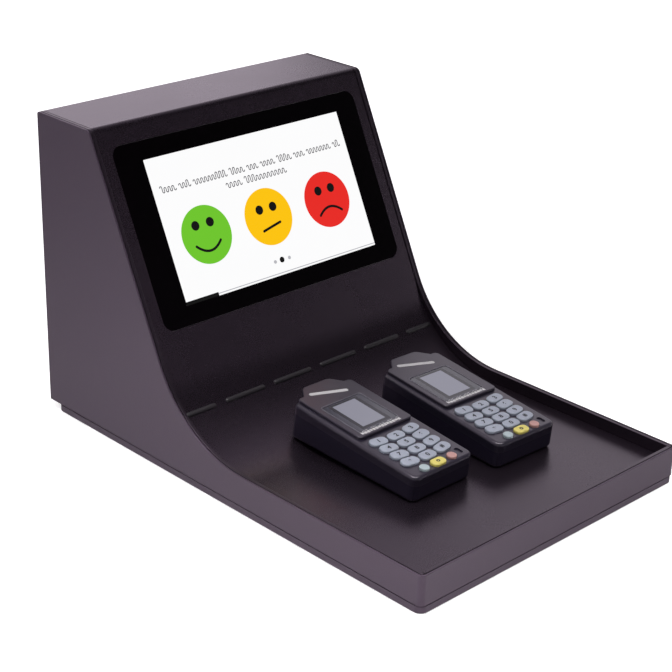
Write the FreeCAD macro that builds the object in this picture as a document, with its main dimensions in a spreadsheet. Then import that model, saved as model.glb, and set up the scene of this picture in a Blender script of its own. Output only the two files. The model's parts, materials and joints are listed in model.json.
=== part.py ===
import FreeCAD, Part
import math
import os
import re

import Sketcher
from FreeCAD import Placement, Rotation, Vector

# Counter-top feedback console with two keypad handsets lying in its tray.
# Millimetres. X to the right, Y to the rear, Z up; the origin is on the counter, below the middle
# of the case.

caseSizes = {
    # outer form of the case
    "caseWidth": 312.0,
    "caseDepth": 465.0,
    "caseHeight": 278.0,
    "caseBottom": 7.5,
    "topDepth": 72.5,
    "panelLean": 26.13,
    "rimHeight": 34.0,
    "curveRadius": 113.0,
    "topEdgeRadius": 6.0,
    "rearEdgeRadius": 2.5,
    "cornerRadius": 5.0,
    # sheet thicknesses and seams
    "skinThick": 1.5,
    "skinBreak": 0.6,
    "plateBreak": 0.5,
    "seamGap": 1.0,
    "plateThick": 3.0,
    "sheetThick": 2.0,
    "sideSeam": 0.3,
    "baseFlange": 18.0,
    "dimpleRadius": 6.0,
    # tray and slanted panel
    "trayFloor": 23.0,
    "innerCurveRadius": 108.0,
    "panelInset": 1.0,
    "lipThick": 3.0,
    "rearFold": 15.0,
    "ribLength": 45.0,
    "ribPitch": 55.0,
    "ribRadius": 2.6,
    "ribRise": 1.5,
    "ribAngle": 46.6,
    "ribWall": 1.3,
    # base plate, feet and rear cover
    "footHeight": 1.0,
    "footRadius": 8.0,
    "baseThick": 2.5,
    "baseRim": 5.7,
    "baseWall": 1.5,
    "baseRearInset": 11.3,
    "baseCorner": 7.0,
    "coverInset": 2.5,
    "coverThick": 1.5,
    "coverFold": 15.0,
    "rearFlange": 14.0,
    "ventLength": 60.0,
    "ventHeight": 3.0,
    "ventPitch": 9.0,
    # case screws and power inlet
    "screwRadius": 2.0,
    "screwLength": 10.0,
    "screwHeadRadius": 3.8,
    "screwHeadHeight": 1.4,
    "screwGap": 0.05,
    "inletRadius": 4.0,
    "inletBore": 2.8,
    "inletDepth": 9.0,
    "inletLength": 12.0,
    "inletFlangeRadius": 6.0,
    # screen
    "glassSide": 17.0,
    "glassHeight": 160.5,
    "glassCorner": 10.0,
    "glassTop": 17.6,
    "glassThick": 2.0,
    "glassGap": 0.3,
    "displayWidth": 235.0,
    "displayHeight": 143.0,
    "displayThick": 4.5,
    "bracketSide": 8.0,
    "bracketHeight": 178.0,
    "bracketThick": 1.5,
    "studRadius": 1.5,
    "studLength": 6.0,
    "nutRadius": 3.1,
    "nutHeight": 2.4,
    "boardWidth": 130.0,
    "boardHeight": 85.0,
    "boardThick": 1.6,
    "boardStandoff": 5.0,
}

handsetSizes = {
    # outer form, in the handset's own frame: origin on the key face, at the middle of key row 2
    "leftHandsetX": -35.3,
    "rightHandsetX": 60.7,
    "leftHandsetFront": -141.1,
    "rightHandsetFront": -148.6,
    "leftHandsetTurn": 0.0,
    "rightHandsetTurn": -2.5,
    "handsetWidth": 70.0,
    "handsetFront": 44.7,
    "handsetRear": 99.0,
    "handsetThick": 24.0,
    "wedgeAngle": 3.8,
    "outlineCorner": 7.0,
    "bottomRound": 4.0,
    "topRound": 3.2,
    "headWidth": 62.0,
    "headCorner": 4.0,
    "headRound": 1.0,
    "partingDrop": 9.0,
    "shellWall": 2.0,
    "headRise": 2.8,
    "stepFront": 22.6,
    "bumpReach": 11.5,
    "bumpBase": 24.0,
    "bumpTip": 15.0,
    "seatGap": 0.3,
    # keys
    "keyShift": -1.5,
    "keyShiftAlong": -1.6,
    "keyArch": 1.5,
    "keyTurn": 9.0,
    "keyPitchAcross": 18.8,
    "keyPitchAlong": 12.0,
    "keyLong": 17.0,
    "keyShort": 10.5,
    "keyCorner": 4.8,
    "softKeyLong": 14.6,
    "softKeyShort": 9.4,
    "softKeyCorner": 4.2,
    "roundKeyRadius": 4.4,
    "roundKeyOffset": 16.0,
    "keyRise": 2.0,
    "keyRound": 0.9,
    "keyGap": 0.3,
    "keyLip": 0.7,
    "keyLipThick": 0.8,
    "keyTravel": 0.8,
    # display, window and grip recess
    "windowShift": -2.5,
    "windowMiddle": 52.2,
    "windowWidth": 44.0,
    "windowLength": 46.0,
    "windowThick": 1.2,
    "windowCorner": 2.0,
    "windowGap": 0.2,
    "windowLedge": 4.5,
    "lcdWidth": 38.0,
    "lcdLength": 50.0,
    "lcdThick": 2.6,
    "gripAcross": 26.0,
    "gripAlong": -34.7,
    "gripLong": 8.5,
    "gripShort": 4.6,
    "gripDepth": 1.2,
    # inside
    "boardDrop": 5.4,
    "boardWide": 57.0,
    "boardLong": 134.0,
    "boardSheet": 1.6,
    "boardCorner": 3.5,
    "matWide": 56.0,
    "matThick": 1.2,
    "padRadius": 2.4,
    "padRise": 0.25,
    "batteryWide": 44.0,
    "batteryLong": 58.0,
    "batteryThick": 7.0,
    "batteryMiddle": 32.0,
    "pillarRadius": 2.8,
    "pillarAcross": 26.0,
    "pillarFront": 27.5,
    "pillarRear": 90.0,
    "smallScrewRadius": 1.0,
    "smallHeadRadius": 2.0,
    "smallHeadHeight": 1.5,
    "smallScrewGap": 0.05,
}

sizes = {**caseSizes, **handsetSizes}

doc = FreeCAD.newDocument("FeedbackTerminal")
sheet = doc.addObject("Spreadsheet::Sheet", "Sizes")
for row, (alias, value) in enumerate(sizes.items(), 1):
    sheet.set(f"A{row}", alias)
    sheet.set(f"B{row}", str(value))
    sheet.setAlias(f"B{row}", alias)
doc.recompute()

nodes = []
far = 600.0


def size(alias):
    """Value of one cell of the sheet."""
    return float(sheet.get(alias))


def inSheet(text):
    """Expression text with every size name turned into its sheet reference."""
    return re.sub(r"[A-Za-z]+", lambda word: "Sizes." + word[0] if word[0] in sizes else word[0], text)


def bind(item, **properties):
    """Tie properties of an object to sizes; a double underscore stands for a dot."""
    for name, text in properties.items():
        item.setExpression(name.replace("__", "."), inSheet(text))


def node(item, label):
    """Register a finished sub-part under the name of its file."""
    item.Label = label
    nodes.append(item)
    return item


# ---------------------------------------------------------------- sketch and feature helpers

def newBody(name):
    return doc.addObject("PartDesign::Body", name)


def originPlane(body, role):
    return [item for item in body.Origin.OriginFeatures if item.Role == role][0]


def sketchOn(body, role, offset="0"):
    """Sketch on one of the body's own origin planes, moved along the plane's normal."""
    sketch = body.newObject("Sketcher::SketchObject", "Sketch")
    sketch.AttachmentSupport = [(originPlane(body, role), "")]
    sketch.MapMode = "FlatFace"
    bind(sketch, AttachmentOffset__Base__z=offset)
    return sketch


def addOutline(sketch, points):
    """Closed outline through points given as pairs of expressions, each point fully dimensioned."""
    first = sketch.GeometryCount
    count = len(points)
    ring = [Vector(50 * math.cos(2 * math.pi * k / count), 50 * math.sin(2 * math.pi * k / count), 0)
            for k in range(count)]
    for k in range(count):
        sketch.addGeometry(Part.LineSegment(ring[k], ring[(k + 1) % count]), False)
    for k in range(count):
        sketch.addConstraint(Sketcher.Constraint("Coincident", first + k, 2, first + (k + 1) % count, 1))
    for k, (across, along) in enumerate(points):
        for kind, text, start in (("DistanceX", across, ring[k].x), ("DistanceY", along, ring[k].y)):
            index = sketch.addConstraint(Sketcher.Constraint(kind, first + k, 1, start))
            sketch.setExpression(f"Constraints[{index}]", inSheet(text))


def addBox(sketch, low, high):
    """Rectangle between two corners given as pairs of expressions."""
    addOutline(sketch, [low, (high[0], low[1]), high, (low[0], high[1])])


def addCircle(sketch, across, along, radius):
    """Circle with its centre and radius given as expressions."""
    index = sketch.addGeometry(Part.Circle(Vector(1, 1, 0), Vector(0, 0, 1), 1), False)
    for kind, text in (("DistanceX", across), ("DistanceY", along)):
        place = sketch.addConstraint(Sketcher.Constraint(kind, index, 3, 1.0))
        sketch.setExpression(f"Constraints[{place}]", inSheet(text))
    place = sketch.addConstraint(Sketcher.Constraint("Radius", index, 1.0))
    sketch.setExpression(f"Constraints[{place}]", inSheet(radius))


def pad(body, sketch, length, reverse=False, middle=False):
    feature = body.newObject("PartDesign::Pad", "Pad")
    feature.Profile = sketch
    feature.Reversed = reverse
    feature.SideType = "Symmetric" if middle else "One side"
    bind(feature, Length=length)
    doc.recompute()
    return feature


def pocket(body, sketch, length, reverse=False, middle=False):
    """Cut along the sketch's negative normal, or along its normal when reversed."""
    before = body.Shape.Volume
    feature = body.newObject("PartDesign::Pocket", "Pocket")
    feature.Profile = sketch
    feature.Reversed = reverse
    feature.SideType = "Symmetric" if middle else "One side"
    bind(feature, Length=length)
    doc.recompute()
    if not feature.Shape.Volume < before - 1e-3:
        raise RuntimeError(f"pocket in {body.Name} removed nothing")
    return feature


def edgesWhere(shape, test):
    """Names of the edges whose middle point passes the test."""
    names = []
    for index, edge in enumerate(shape.Edges, 1):
        middle = edge.valueAt((edge.FirstParameter + edge.LastParameter) / 2)
        if test(edge, middle):
            names.append(f"Edge{index}")
    return names


def fillet(body, radius, test):
    """Round the chosen edges of the body's last feature."""
    tip = body.Tip
    names = edgesWhere(tip.Shape, test)
    if not names:
        raise RuntimeError(f"no edge to round in {body.Name}")
    feature = body.newObject("PartDesign::Fillet", "Fillet")
    feature.Base = (tip, names)
    bind(feature, Radius=radius)
    doc.recompute()
    return feature


def isAlong(edge, direction):
    """True for a straight edge parallel to the direction."""
    if edge.Curve.TypeId != "Part::GeomLine":
        return False
    return abs(edge.Curve.Direction.dot(direction)) > 0.9999


def near(first, second, tolerance=0.05):
    return abs(first - second) < tolerance


alongX = Vector(1, 0, 0)
alongY = Vector(0, 1, 0)
alongZ = Vector(0, 0, 1)

# ---------------------------------------------------------------- the case's side profile

front = "-caseDepth/2"
rear = "caseDepth/2"
panelTopY = "(caseDepth/2 - topDepth)"
kneeY = "(caseDepth/2 - topDepth - (caseHeight - rimHeight)*tan(panelLean))"
sheetKneeY = ("(caseDepth/2 - topDepth - (caseHeight - trayFloor)*tan(panelLean)"
              " + panelInset/cos(panelLean))")
sheetTopY = "(caseDepth/2 - topDepth + panelInset/cos(panelLean))"


def profileNumbers():
    """Panel top, rim knee and sheet knee along Y, as numbers for picking edges."""
    lean = math.radians(size("panelLean"))
    top = size("caseDepth") / 2 - size("topDepth")
    knee = top - (size("caseHeight") - size("rimHeight")) * math.tan(lean)
    shift = size("panelInset") / math.cos(lean)
    sheetKnee = top - (size("caseHeight") - size("trayFloor")) * math.tan(lean) + shift
    return top, knee, sheetKnee, top + shift


panelTop, rimKnee, sheetKnee, sheetTop = profileNumbers()


def sideOutline(sketch, frontY, bottomZ):
    """Side profile of the case: low tray rim, concave curve, slanted panel, short flat top."""
    addOutline(sketch, [(frontY, bottomZ), (rear, bottomZ), (rear, "caseHeight"),
                        (panelTopY, "caseHeight"), (kneeY, "rimHeight"), (frontY, "rimHeight")])


def roundProfile(body):
    """Concave curve and top corners of a part with the case's side profile."""
    fillet(body, "curveRadius", lambda edge, at: isAlong(edge, alongX)
           and near(at.y, rimKnee) and near(at.z, size("rimHeight")))
    fillet(body, "topEdgeRadius", lambda edge, at: isAlong(edge, alongX)
           and near(at.y, panelTop) and near(at.z, size("caseHeight")))
    fillet(body, "rearEdgeRadius", lambda edge, at: isAlong(edge, alongX)
           and near(at.y, size("caseDepth") / 2) and near(at.z, size("caseHeight")))


def breakProfile(body, radius, *sides):
    """Small rounding along the case's profile where it meets the faces at the given places in X."""
    low = size("caseBottom") + size("skinThick") + 3
    fillet(body, radius, lambda edge, at: any(near(abs(at.x), side) for side in sides)
           and at.z > low and at.y < size("caseDepth") / 2 - 0.1 and not isAlong(edge, alongZ))


baseScrews = [(side, along) for side in (-1, 1) for along in ("frontScrewY", "midScrewY", "rearScrewY")]
screwY = {
    "frontScrewY": "(-caseDepth/2 + baseFlange)",
    "midScrewY": "(-baseRearInset/2)",
    "rearScrewY": "(caseDepth/2 - baseRearInset - baseFlange)",
}
screwX = "(caseWidth/2 - baseFlange/2)"
coverScrews = [(side, height) for side in (-1, 1)
               for height in ("(caseBottom + 20)", "(caseHeight - rearFold - 12)")]
coverScrewX = ("(caseWidth/2 - skinThick - seamGap - plateThick"
               " - rearFlange/2 + screwRadius)")


def screwCircles(sketch, radius, sides=(-1, 1)):
    """Circles at the base screws of the given sides."""
    for side, along in baseScrews:
        if side in sides:
            addCircle(sketch, f"{side}*{screwX}", screwY[along], radius)


# ---------------------------------------------------------------- outer wrap

def makeWrap():
    """Cheeks and front from one folded skin, with a bottom return flange and pressed dimples."""
    body = newBody("OuterWrap")
    outline = sketchOn(body, "YZ_Plane")
    sideOutline(outline, front, "caseBottom")
    pad(body, outline, "caseWidth", middle=True)
    fillet(body, "cornerRadius", lambda edge, at: isAlong(edge, alongZ)
           and near(at.y, -size("caseDepth") / 2))
    roundProfile(body)

    hollow = sketchOn(body, "XY_Plane", "caseBottom + skinThick")
    addBox(hollow, ("-caseWidth/2 + skinThick", "-caseDepth/2 + skinThick"),
           ("caseWidth/2 - skinThick", "caseDepth"))
    pocket(body, hollow, "caseHeight", reverse=True)
    fillet(body, "cornerRadius - skinThick", lambda edge, at: isAlong(edge, alongZ)
           and near(at.y, -size("caseDepth") / 2 + size("skinThick")))

    opening = sketchOn(body, "XY_Plane", "caseBottom")
    addBox(opening, ("-caseWidth/2 + baseFlange", "-caseDepth/2 + baseFlange"),
           ("caseWidth/2 - baseFlange", "caseDepth"))
    pocket(body, opening, "skinThick", reverse=True)

    breakProfile(body, "skinBreak", size("caseWidth") / 2)
    dimples = sketchOn(body, "XY_Plane", "footHeight + baseThick")
    screwCircles(dimples, "dimpleRadius")
    pad(body, dimples, "caseBottom - footHeight - baseThick")
    holes = sketchOn(body, "XY_Plane", "footHeight")
    screwCircles(holes, "screwRadius + screwGap")
    pocket(body, holes, "caseBottom + skinThick", reverse=True)
    return node(body, "outer_wrap")


# ---------------------------------------------------------------- inner side plates

def makeSidePlate(side, label):
    """Structural plate just inside a cheek, with flanges for the base and the rear cover."""
    body = newBody("SidePlate")
    inset = "(skinThick + seamGap)"
    low = f"(-caseWidth/2 + {inset})" if side < 0 else f"(caseWidth/2 - {inset} - plateThick)"
    outline = sketchOn(body, "YZ_Plane", low)
    sideOutline(outline, f"-caseDepth/2 + {inset}", "caseBottom + skinThick")
    pad(body, outline, "plateThick")
    outer = side * (size("caseWidth") / 2 - size("skinThick") - size("seamGap"))
    fillet(body, f"{inset}", lambda edge, at: isAlong(edge, alongZ)
           and near(at.x, outer) and at.y < -size("caseDepth") / 2 + 10)
    roundProfile(body)
    breakProfile(body, "plateBreak", abs(outer), abs(outer) - size("plateThick"))

    foot = sketchOn(body, "XY_Plane", "caseBottom + skinThick")
    edgeX = f"{side}*(caseWidth/2 - {inset} - plateThick/2)"
    innerX = f"{side}*(caseWidth/2 - baseFlange)"
    addBox(foot, (edgeX, "-caseDepth/2 + skinThick + seamGap + lipThick + 1"), (innerX, "caseDepth/2"))
    pad(body, foot, "plateThick")

    flange = sketchOn(body, "XY_Plane", "caseBottom + skinThick")
    innerX = f"{side}*(caseWidth/2 - {inset} - plateThick - rearFlange)"
    addBox(flange, (edgeX, "caseDepth/2 - coverInset - coverThick - plateThick"),
           (innerX, "caseDepth/2 - coverInset - coverThick"))
    pad(body, flange, "caseHeight - caseBottom - skinThick - sheetThick - 6")

    behind = sketchOn(body, "XY_Plane", "caseBottom + skinThick")
    addBox(behind, (f"{side}*(caseWidth/2 - {inset} - plateThick)",
                    "caseDepth/2 - coverInset - coverThick"),
           (innerX, "caseDepth/2 + 1"))
    pocket(body, behind, "plateThick", reverse=True)

    holes = sketchOn(body, "XY_Plane", "caseBottom")
    screwCircles(holes, "screwRadius + screwGap", (side,))
    pocket(body, holes, "skinThick + plateThick + 1", reverse=True)
    across = sketchOn(body, "XZ_Plane", "-caseDepth/2 + coverInset + coverThick + plateThick + 1")
    for screwSide, height in coverScrews:
        if screwSide == side:
            addCircle(across, f"{side}*{coverScrewX}", height, "screwRadius + screwGap")
    pocket(body, across, "plateThick + 2")
    return node(body, label)


# ---------------------------------------------------------------- fascia, screen panel and tray

def ribPlaces():
    """Middle and length of each pressed rib along X; the outermost stop short of the edges."""
    half = size("caseWidth") / 2 - size("skinThick") - size("seamGap") - size("plateThick")
    places = []
    middle = size("ribPitch") / 2
    while middle - size("ribLength") / 2 + 4 * size("ribRadius") < half:
        low = middle - size("ribLength") / 2
        high = min(middle + size("ribLength") / 2, half - size("ribRadius"))
        for side in (-1, 1):
            places.append((side * (low + high) / 2, high - low))
        middle += size("ribPitch")
    return places


def capsule(middle, length, centreY, centreZ, radius):
    """Rod along X with round ends."""
    straight = length - 2 * radius
    rod = Part.makeCylinder(radius, straight, Vector(middle - straight / 2, centreY, centreZ), alongX)
    for end in (-1, 1):
        ball = Part.makeSphere(radius, Vector(middle + end * straight / 2, centreY, centreZ))
        rod = rod.fuse(ball)
    return rod


def ribTool(name, radius):
    """All ribs as one tool shape on the concave curve of the sheet."""
    reach = size("innerCurveRadius")
    tangent = reach * math.tan(math.radians(90 - size("panelLean")) / 2)
    startY = sheetKnee - tangent
    centreZ = size("trayFloor") + reach
    angle = math.radians(size("ribAngle"))
    depth = reach + size("ribRadius") - size("ribRise")
    tool = doc.addObject("Part::Feature", name)
    shrink = size("ribRadius") - radius
    rods = [capsule(middle, length - 2 * shrink, startY + depth * math.sin(angle),
                    centreZ - depth * math.cos(angle), radius) for middle, length in ribPlaces()]
    tool.Shape = Part.makeCompound(rods)
    return tool


def makeFascia():
    """Top, slanted panel, curve, tray floor and hemmed front lip, folded from one sheet."""
    body = newBody("FasciaSheet")
    outline = sketchOn(body, "YZ_Plane")
    rise = "sheetThick/cos(panelLean)"
    innerTopY = f"({sheetTopY} + {rise} - sheetThick*tan(panelLean))"
    innerKneeY = f"({sheetKneeY} + {rise} - sheetThick*tan(panelLean))"
    lipFront = "(-caseDepth/2 + skinThick + seamGap)"
    addOutline(outline, [
        (rear, "caseHeight"), (sheetTopY, "caseHeight"), (sheetKneeY, "trayFloor"),
        (f"{lipFront} + lipThick", "trayFloor"), (f"{lipFront} + lipThick", "rimHeight"),
        (lipFront, "rimHeight"), (lipFront, "trayFloor - sheetThick"),
        (innerKneeY, "trayFloor - sheetThick"), (innerTopY, "caseHeight - sheetThick"),
        ("caseDepth/2 - sheetThick", "caseHeight - sheetThick"),
        ("caseDepth/2 - sheetThick", "caseHeight - rearFold"), (rear, "caseHeight - rearFold")])
    pad(body, outline, "caseWidth - 2*(skinThick + seamGap + plateThick + sideSeam)", middle=True)

    lean = math.radians(size("panelLean"))
    back = size("sheetThick") * (1 / math.cos(lean) - math.tan(lean))
    floor = size("trayFloor")
    height = size("caseHeight")
    thick = size("sheetThick")
    fillet(body, "innerCurveRadius", lambda edge, at: isAlong(edge, alongX)
           and near(at.y, sheetKnee) and near(at.z, floor))
    fillet(body, "innerCurveRadius + sheetThick", lambda edge, at: isAlong(edge, alongX)
           and near(at.y, sheetKnee + back) and near(at.z, floor - thick))
    fillet(body, "topEdgeRadius", lambda edge, at: isAlong(edge, alongX)
           and near(at.y, sheetTop) and near(at.z, height))
    fillet(body, "topEdgeRadius - sheetThick", lambda edge, at: isAlong(edge, alongX)
           and near(at.y, sheetTop + back) and near(at.z, height - thick))
    fillet(body, "rearEdgeRadius", lambda edge, at: isAlong(edge, alongX)
           and near(at.y, size("caseDepth") / 2) and near(at.z, height))

    window = sketchOn(body, "XY_Plane")
    window.AttachmentOffset = Placement(Vector(0, 0, 0), Rotation(alongX, 45))
    bind(window, AttachmentOffset__Rotation__Angle="90 - panelLean",
         AttachmentOffset__Base__y=panelTopY, AttachmentOffset__Base__z="caseHeight")
    addBox(window, (f"-{glassWidth}/2 - glassGap", "-glassTop - glassHeight - glassGap"),
           (f"{glassWidth}/2 + glassGap", "-glassTop + glassGap"))
    pocket(body, window, "panelInset + sheetThick + 3")
    normal = Vector(0, -math.cos(lean), math.sin(lean))
    windowSide = size("caseWidth") / 2 - size("glassSide") + size("glassGap")
    fillet(body, "glassCorner + glassGap", lambda edge, at: isAlong(edge, normal)
           and edge.Length < 2 * thick and near(abs(at.x), windowSide))

    studs = sketchOn(body, "XY_Plane")
    studs.AttachmentOffset = Placement(Vector(0, 0, 0), Rotation(alongX, 45))
    bind(studs, AttachmentOffset__Rotation__Angle="90 - panelLean",
         AttachmentOffset__Base__y=f"{panelTopY} + (panelInset + sheetThick/2)*cos(panelLean)",
         AttachmentOffset__Base__z="caseHeight - (panelInset + sheetThick/2)*sin(panelLean)")
    for across, along in studPlaces:
        addCircle(studs, across, along, "studRadius")
    pad(body, studs, "studLength + sheetThick/2", reverse=True)

    ribbed = doc.addObject("Part::MultiFuse", "RibbedSheet")
    ribbed.Shapes = [body, ribTool("Ribs", size("ribRadius"))]
    fascia = doc.addObject("Part::Cut", "Fascia")
    fascia.Base = ribbed
    fascia.Tool = ribTool("RibHollows", size("ribRadius") - size("ribWall"))
    return node(fascia, "fascia_sheet")


# ---------------------------------------------------------------- screen

screenMiddle = "(-glassTop - glassHeight/2)"
glassWidth = "(caseWidth - 2*glassSide)"
bracketWidth = "(caseWidth - 2*bracketSide)"
studPlaces = [(f"{side}*({bracketWidth}/2 - 4.5)", f"{screenMiddle} + {level}*(bracketHeight/2 - 20)")
              for side in (-1, 1) for level in (-1, 0, 1)]


def onPanel(item):
    """Set an object, modelled flat, onto the slanted panel: Y up the slope, Z out of the panel."""
    item.Placement = Placement(Vector(0, 0, 0), Rotation(alongX, 45))
    bind(item, Placement__Base__y=panelTopY, Placement__Base__z="caseHeight",
         Placement__Rotation__Angle="90 - panelLean")


def roundedPlate(name, width, height, corner, back, thick, middle=screenMiddle):
    """Flat plate with round corners, centred across the panel."""
    body = newBody(name)
    outline = sketchOn(body, "XY_Plane", back)
    addBox(outline, (f"-{width}/2", f"{middle} - {height}/2"), (f"{width}/2", f"{middle} + {height}/2"))
    pad(body, outline, thick)
    if corner:
        fillet(body, corner, lambda edge, at: isAlong(edge, alongZ))
    return body


sheetBack = "(-panelInset - sheetThick)"


def makeGlass():
    """Cover glass, lying in the fascia's opening on the bracket."""
    body = roundedPlate("TouchGlass", glassWidth, "glassHeight", "glassCorner", sheetBack, "glassThick")
    onPanel(body)
    return node(body, "touch_glass")


def makeDisplay():
    """Display module, bonded to the back of the glass."""
    body = roundedPlate("DisplayPanel", "displayWidth", "displayHeight", None,
                        f"{sheetBack} - displayThick", "displayThick")
    onPanel(body)
    return node(body, "display_panel")


def makeBracket():
    """Flanged pan behind the fascia that carries the glass's edge, the display and the board."""
    flangeBack = f"({sheetBack} - bracketThick)"
    body = roundedPlate("DisplayBracket", bracketWidth, "bracketHeight", None,
                        flangeBack, "bracketThick")
    pan = sketchOn(body, "XY_Plane", f"{sheetBack} - displayThick - bracketThick")
    addBox(pan, ("-displayWidth/2 - glassGap - bracketThick",
                 f"{screenMiddle} - displayHeight/2 - glassGap - bracketThick"),
           ("displayWidth/2 + glassGap + bracketThick",
            f"{screenMiddle} + displayHeight/2 + glassGap + bracketThick"))
    pad(body, pan, "displayThick + bracketThick")
    well = sketchOn(body, "XY_Plane", sheetBack)
    addBox(well, ("-displayWidth/2 - glassGap", f"{screenMiddle} - displayHeight/2 - glassGap"),
           ("displayWidth/2 + glassGap", f"{screenMiddle} + displayHeight/2 + glassGap"))
    pocket(body, well, "displayThick")
    posts = sketchOn(body, "XY_Plane", f"{sheetBack} - displayThick - bracketThick")
    for side in (-1, 1):
        for level in (-1, 1):
            addCircle(posts, f"{side}*(boardWidth/2 - 6)",
                      f"{screenMiddle} + {level}*(boardHeight/2 - 6)", "3")
    pad(body, posts, "boardStandoff", reverse=True)
    holes = sketchOn(body, "XY_Plane", sheetBack)
    for across, along in studPlaces:
        addCircle(holes, across, along, "studRadius + 0.2")
    pocket(body, holes, "bracketThick + 1")
    onPanel(body)
    return node(body, "display_bracket")


def makeNuts():
    """Hexagon nuts on the studs, against the bracket."""
    nuts = []
    for across, along in studPlaces:
        prism = doc.addObject("Part::Prism", "Nut")
        prism.Polygon = 6
        bind(prism, Circumradius="nutRadius", Height="nutHeight", Placement__Base__x=across,
             Placement__Base__y=along, Placement__Base__z=f"{sheetBack} - bracketThick - nutHeight")
        hole = doc.addObject("Part::Cylinder", "NutHole")
        bind(hole, Radius="studRadius + screwGap", Height="nutHeight + 2", Placement__Base__x=across,
             Placement__Base__y=along, Placement__Base__z=f"{sheetBack} - bracketThick - nutHeight - 1")
        nut = doc.addObject("Part::Cut", "DrilledNut")
        nut.Base = prism
        nut.Tool = hole
        nuts.append(nut)
    group = doc.addObject("Part::Compound", "BracketNuts")
    group.Links = nuts
    onPanel(group)
    return node(group, "bracket_nuts")


def makeBoard():
    """Controller board on the bracket's posts, with its chips, heat spreader and connectors."""
    boardFront = f"({sheetBack} - displayThick - bracketThick - boardStandoff)"
    body = roundedPlate("ControllerBoard", "boardWidth", "boardHeight", "2",
                        f"{boardFront} - boardThick", "boardThick")
    parts = sketchOn(body, "XY_Plane", f"{boardFront} - boardThick")
    for low, high in ((("-20", "-14"), ("14", "18")), (("-52", "-30"), ("-34", "-16")),
                      (("30", "-32"), ("52", "-22")), (("-50", "20"), ("-20", "30")),
                      (("26", "8"), ("48", "28"))):
        addBox(parts, (low[0], f"{screenMiddle} + {low[1]}"), (high[0], f"{screenMiddle} + {high[1]}"))
    pad(body, parts, "5", reverse=True)
    onPanel(body)
    return node(body, "controller_board")


# ---------------------------------------------------------------- rear cover, base, feet, fasteners

def makeCover():
    """Service cover in the rear opening, with vent slots and the hole for the power inlet."""
    body = newBody("RearCover")
    outline = sketchOn(body, "XZ_Plane", "-caseDepth/2 + coverInset")
    edge = "(caseWidth/2 - skinThick - seamGap - plateThick - sideSeam)"
    addBox(outline, (f"-{edge}", "caseBottom + skinThick + sideSeam"),
           (edge, "caseHeight - sheetThick - 3"))
    pad(body, outline, "coverThick")
    fold = sketchOn(body, "XY_Plane", "caseBottom + skinThick + sideSeam")
    edge = "(caseWidth/2 - skinThick - seamGap - plateThick - rearFlange - sideSeam)"
    addBox(fold, (f"-{edge}", "caseDepth/2 - baseRearInset - coverFold"),
           (edge, "caseDepth/2 - coverInset - coverThick/2"))
    pad(body, fold, "coverThick")
    cuts = sketchOn(body, "XZ_Plane", "-caseDepth/2 + coverInset - 1")
    for side in (-1, 0, 1):
        for level in range(5):
            middle = f"{side}*(ventLength + 15)"
            low = f"(caseHeight - 70 - {level}*ventPitch)"
            addBox(cuts, (f"{middle} - ventLength/2", low), (f"{middle} + ventLength/2",
                                                            f"{low} + ventHeight"))
    for side, height in coverScrews:
        addCircle(cuts, f"{side}*{coverScrewX}", height, "screwRadius + 0.2")
    addCircle(cuts, "0", inletZ, "inletRadius + screwGap")
    pocket(body, cuts, "coverThick + 2", reverse=True)
    return node(body, "rear_cover")


inletZ = "(caseBottom + 40)"


def makeInlet():
    """Low-voltage socket: flange outside, threaded barrel inside, blind bore."""
    solids = []
    for radius, length, start in (("inletFlangeRadius", "1.5", "1.5"),
                                  ("inletRadius", "inletLength", "0"),
                                  ("inletBore", "inletDepth", "1.5")):
        solid = doc.addObject("Part::Cylinder", "InletPart")
        solid.Placement = Placement(Vector(0, 0, 0), Rotation(alongX, 90))
        bind(solid, Radius=radius, Height=length, Placement__Base__z=inletZ,
             Placement__Base__y=f"caseDepth/2 - coverInset + {start}")
        solids.append(solid)
    joined = doc.addObject("Part::Fuse", "InletBody")
    joined.Base = solids[0]
    joined.Tool = solids[1]
    socket = doc.addObject("Part::Cut", "Inlet")
    socket.Base = joined
    socket.Tool = solids[2]
    return node(socket, "power_inlet")


def makeBase():
    """Shallow pan under the case: floor with counterbores for the screw heads, and a rim all round."""
    body = newBody("BasePlate")
    outline = sketchOn(body, "XY_Plane", "footHeight")
    addBox(outline, ("-caseWidth/2", front), ("caseWidth/2", "caseDepth/2 - baseRearInset"))
    pad(body, outline, "baseRim")
    hollow = sketchOn(body, "XY_Plane", "footHeight + baseThick")
    addBox(hollow, ("-caseWidth/2 + baseWall", f"{front} + baseWall"),
           ("caseWidth/2 - baseWall", "caseDepth/2 - baseRearInset - baseWall"))
    pocket(body, hollow, "baseRim", reverse=True)
    fillet(body, "baseCorner - baseWall", lambda edge, at: isAlong(edge, alongZ)
           and near(abs(at.x), size("caseWidth") / 2 - size("baseWall")))
    fillet(body, "baseCorner", lambda edge, at: isAlong(edge, alongZ)
           and near(abs(at.x), size("caseWidth") / 2))
    holes = sketchOn(body, "XY_Plane", "footHeight - 1")
    screwCircles(holes, "screwRadius + 0.2")
    pocket(body, holes, "baseRim + 2", reverse=True)
    heads = sketchOn(body, "XY_Plane", "footHeight")
    screwCircles(heads, "screwHeadRadius + 0.4")
    pocket(body, heads, "screwHeadHeight", reverse=True)
    return node(body, "base_plate")


def makeFeet():
    """Four flat rubber feet stuck under the base plate."""
    feet = []
    for side in (-1, 1):
        for y in ("(-caseDepth/2 + 45)", "(caseDepth/2 - baseRearInset - 45)"):
            foot = doc.addObject("Part::Cylinder", "Foot")
            bind(foot, Radius="footRadius", Height="footHeight",
                 Placement__Base__x=f"{side}*(caseWidth/2 - 40)", Placement__Base__y=y)
            feet.append(foot)
    group = doc.addObject("Part::Compound", "RubberFeet")
    group.Links = feet
    return node(group, "rubber_feet")


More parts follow.
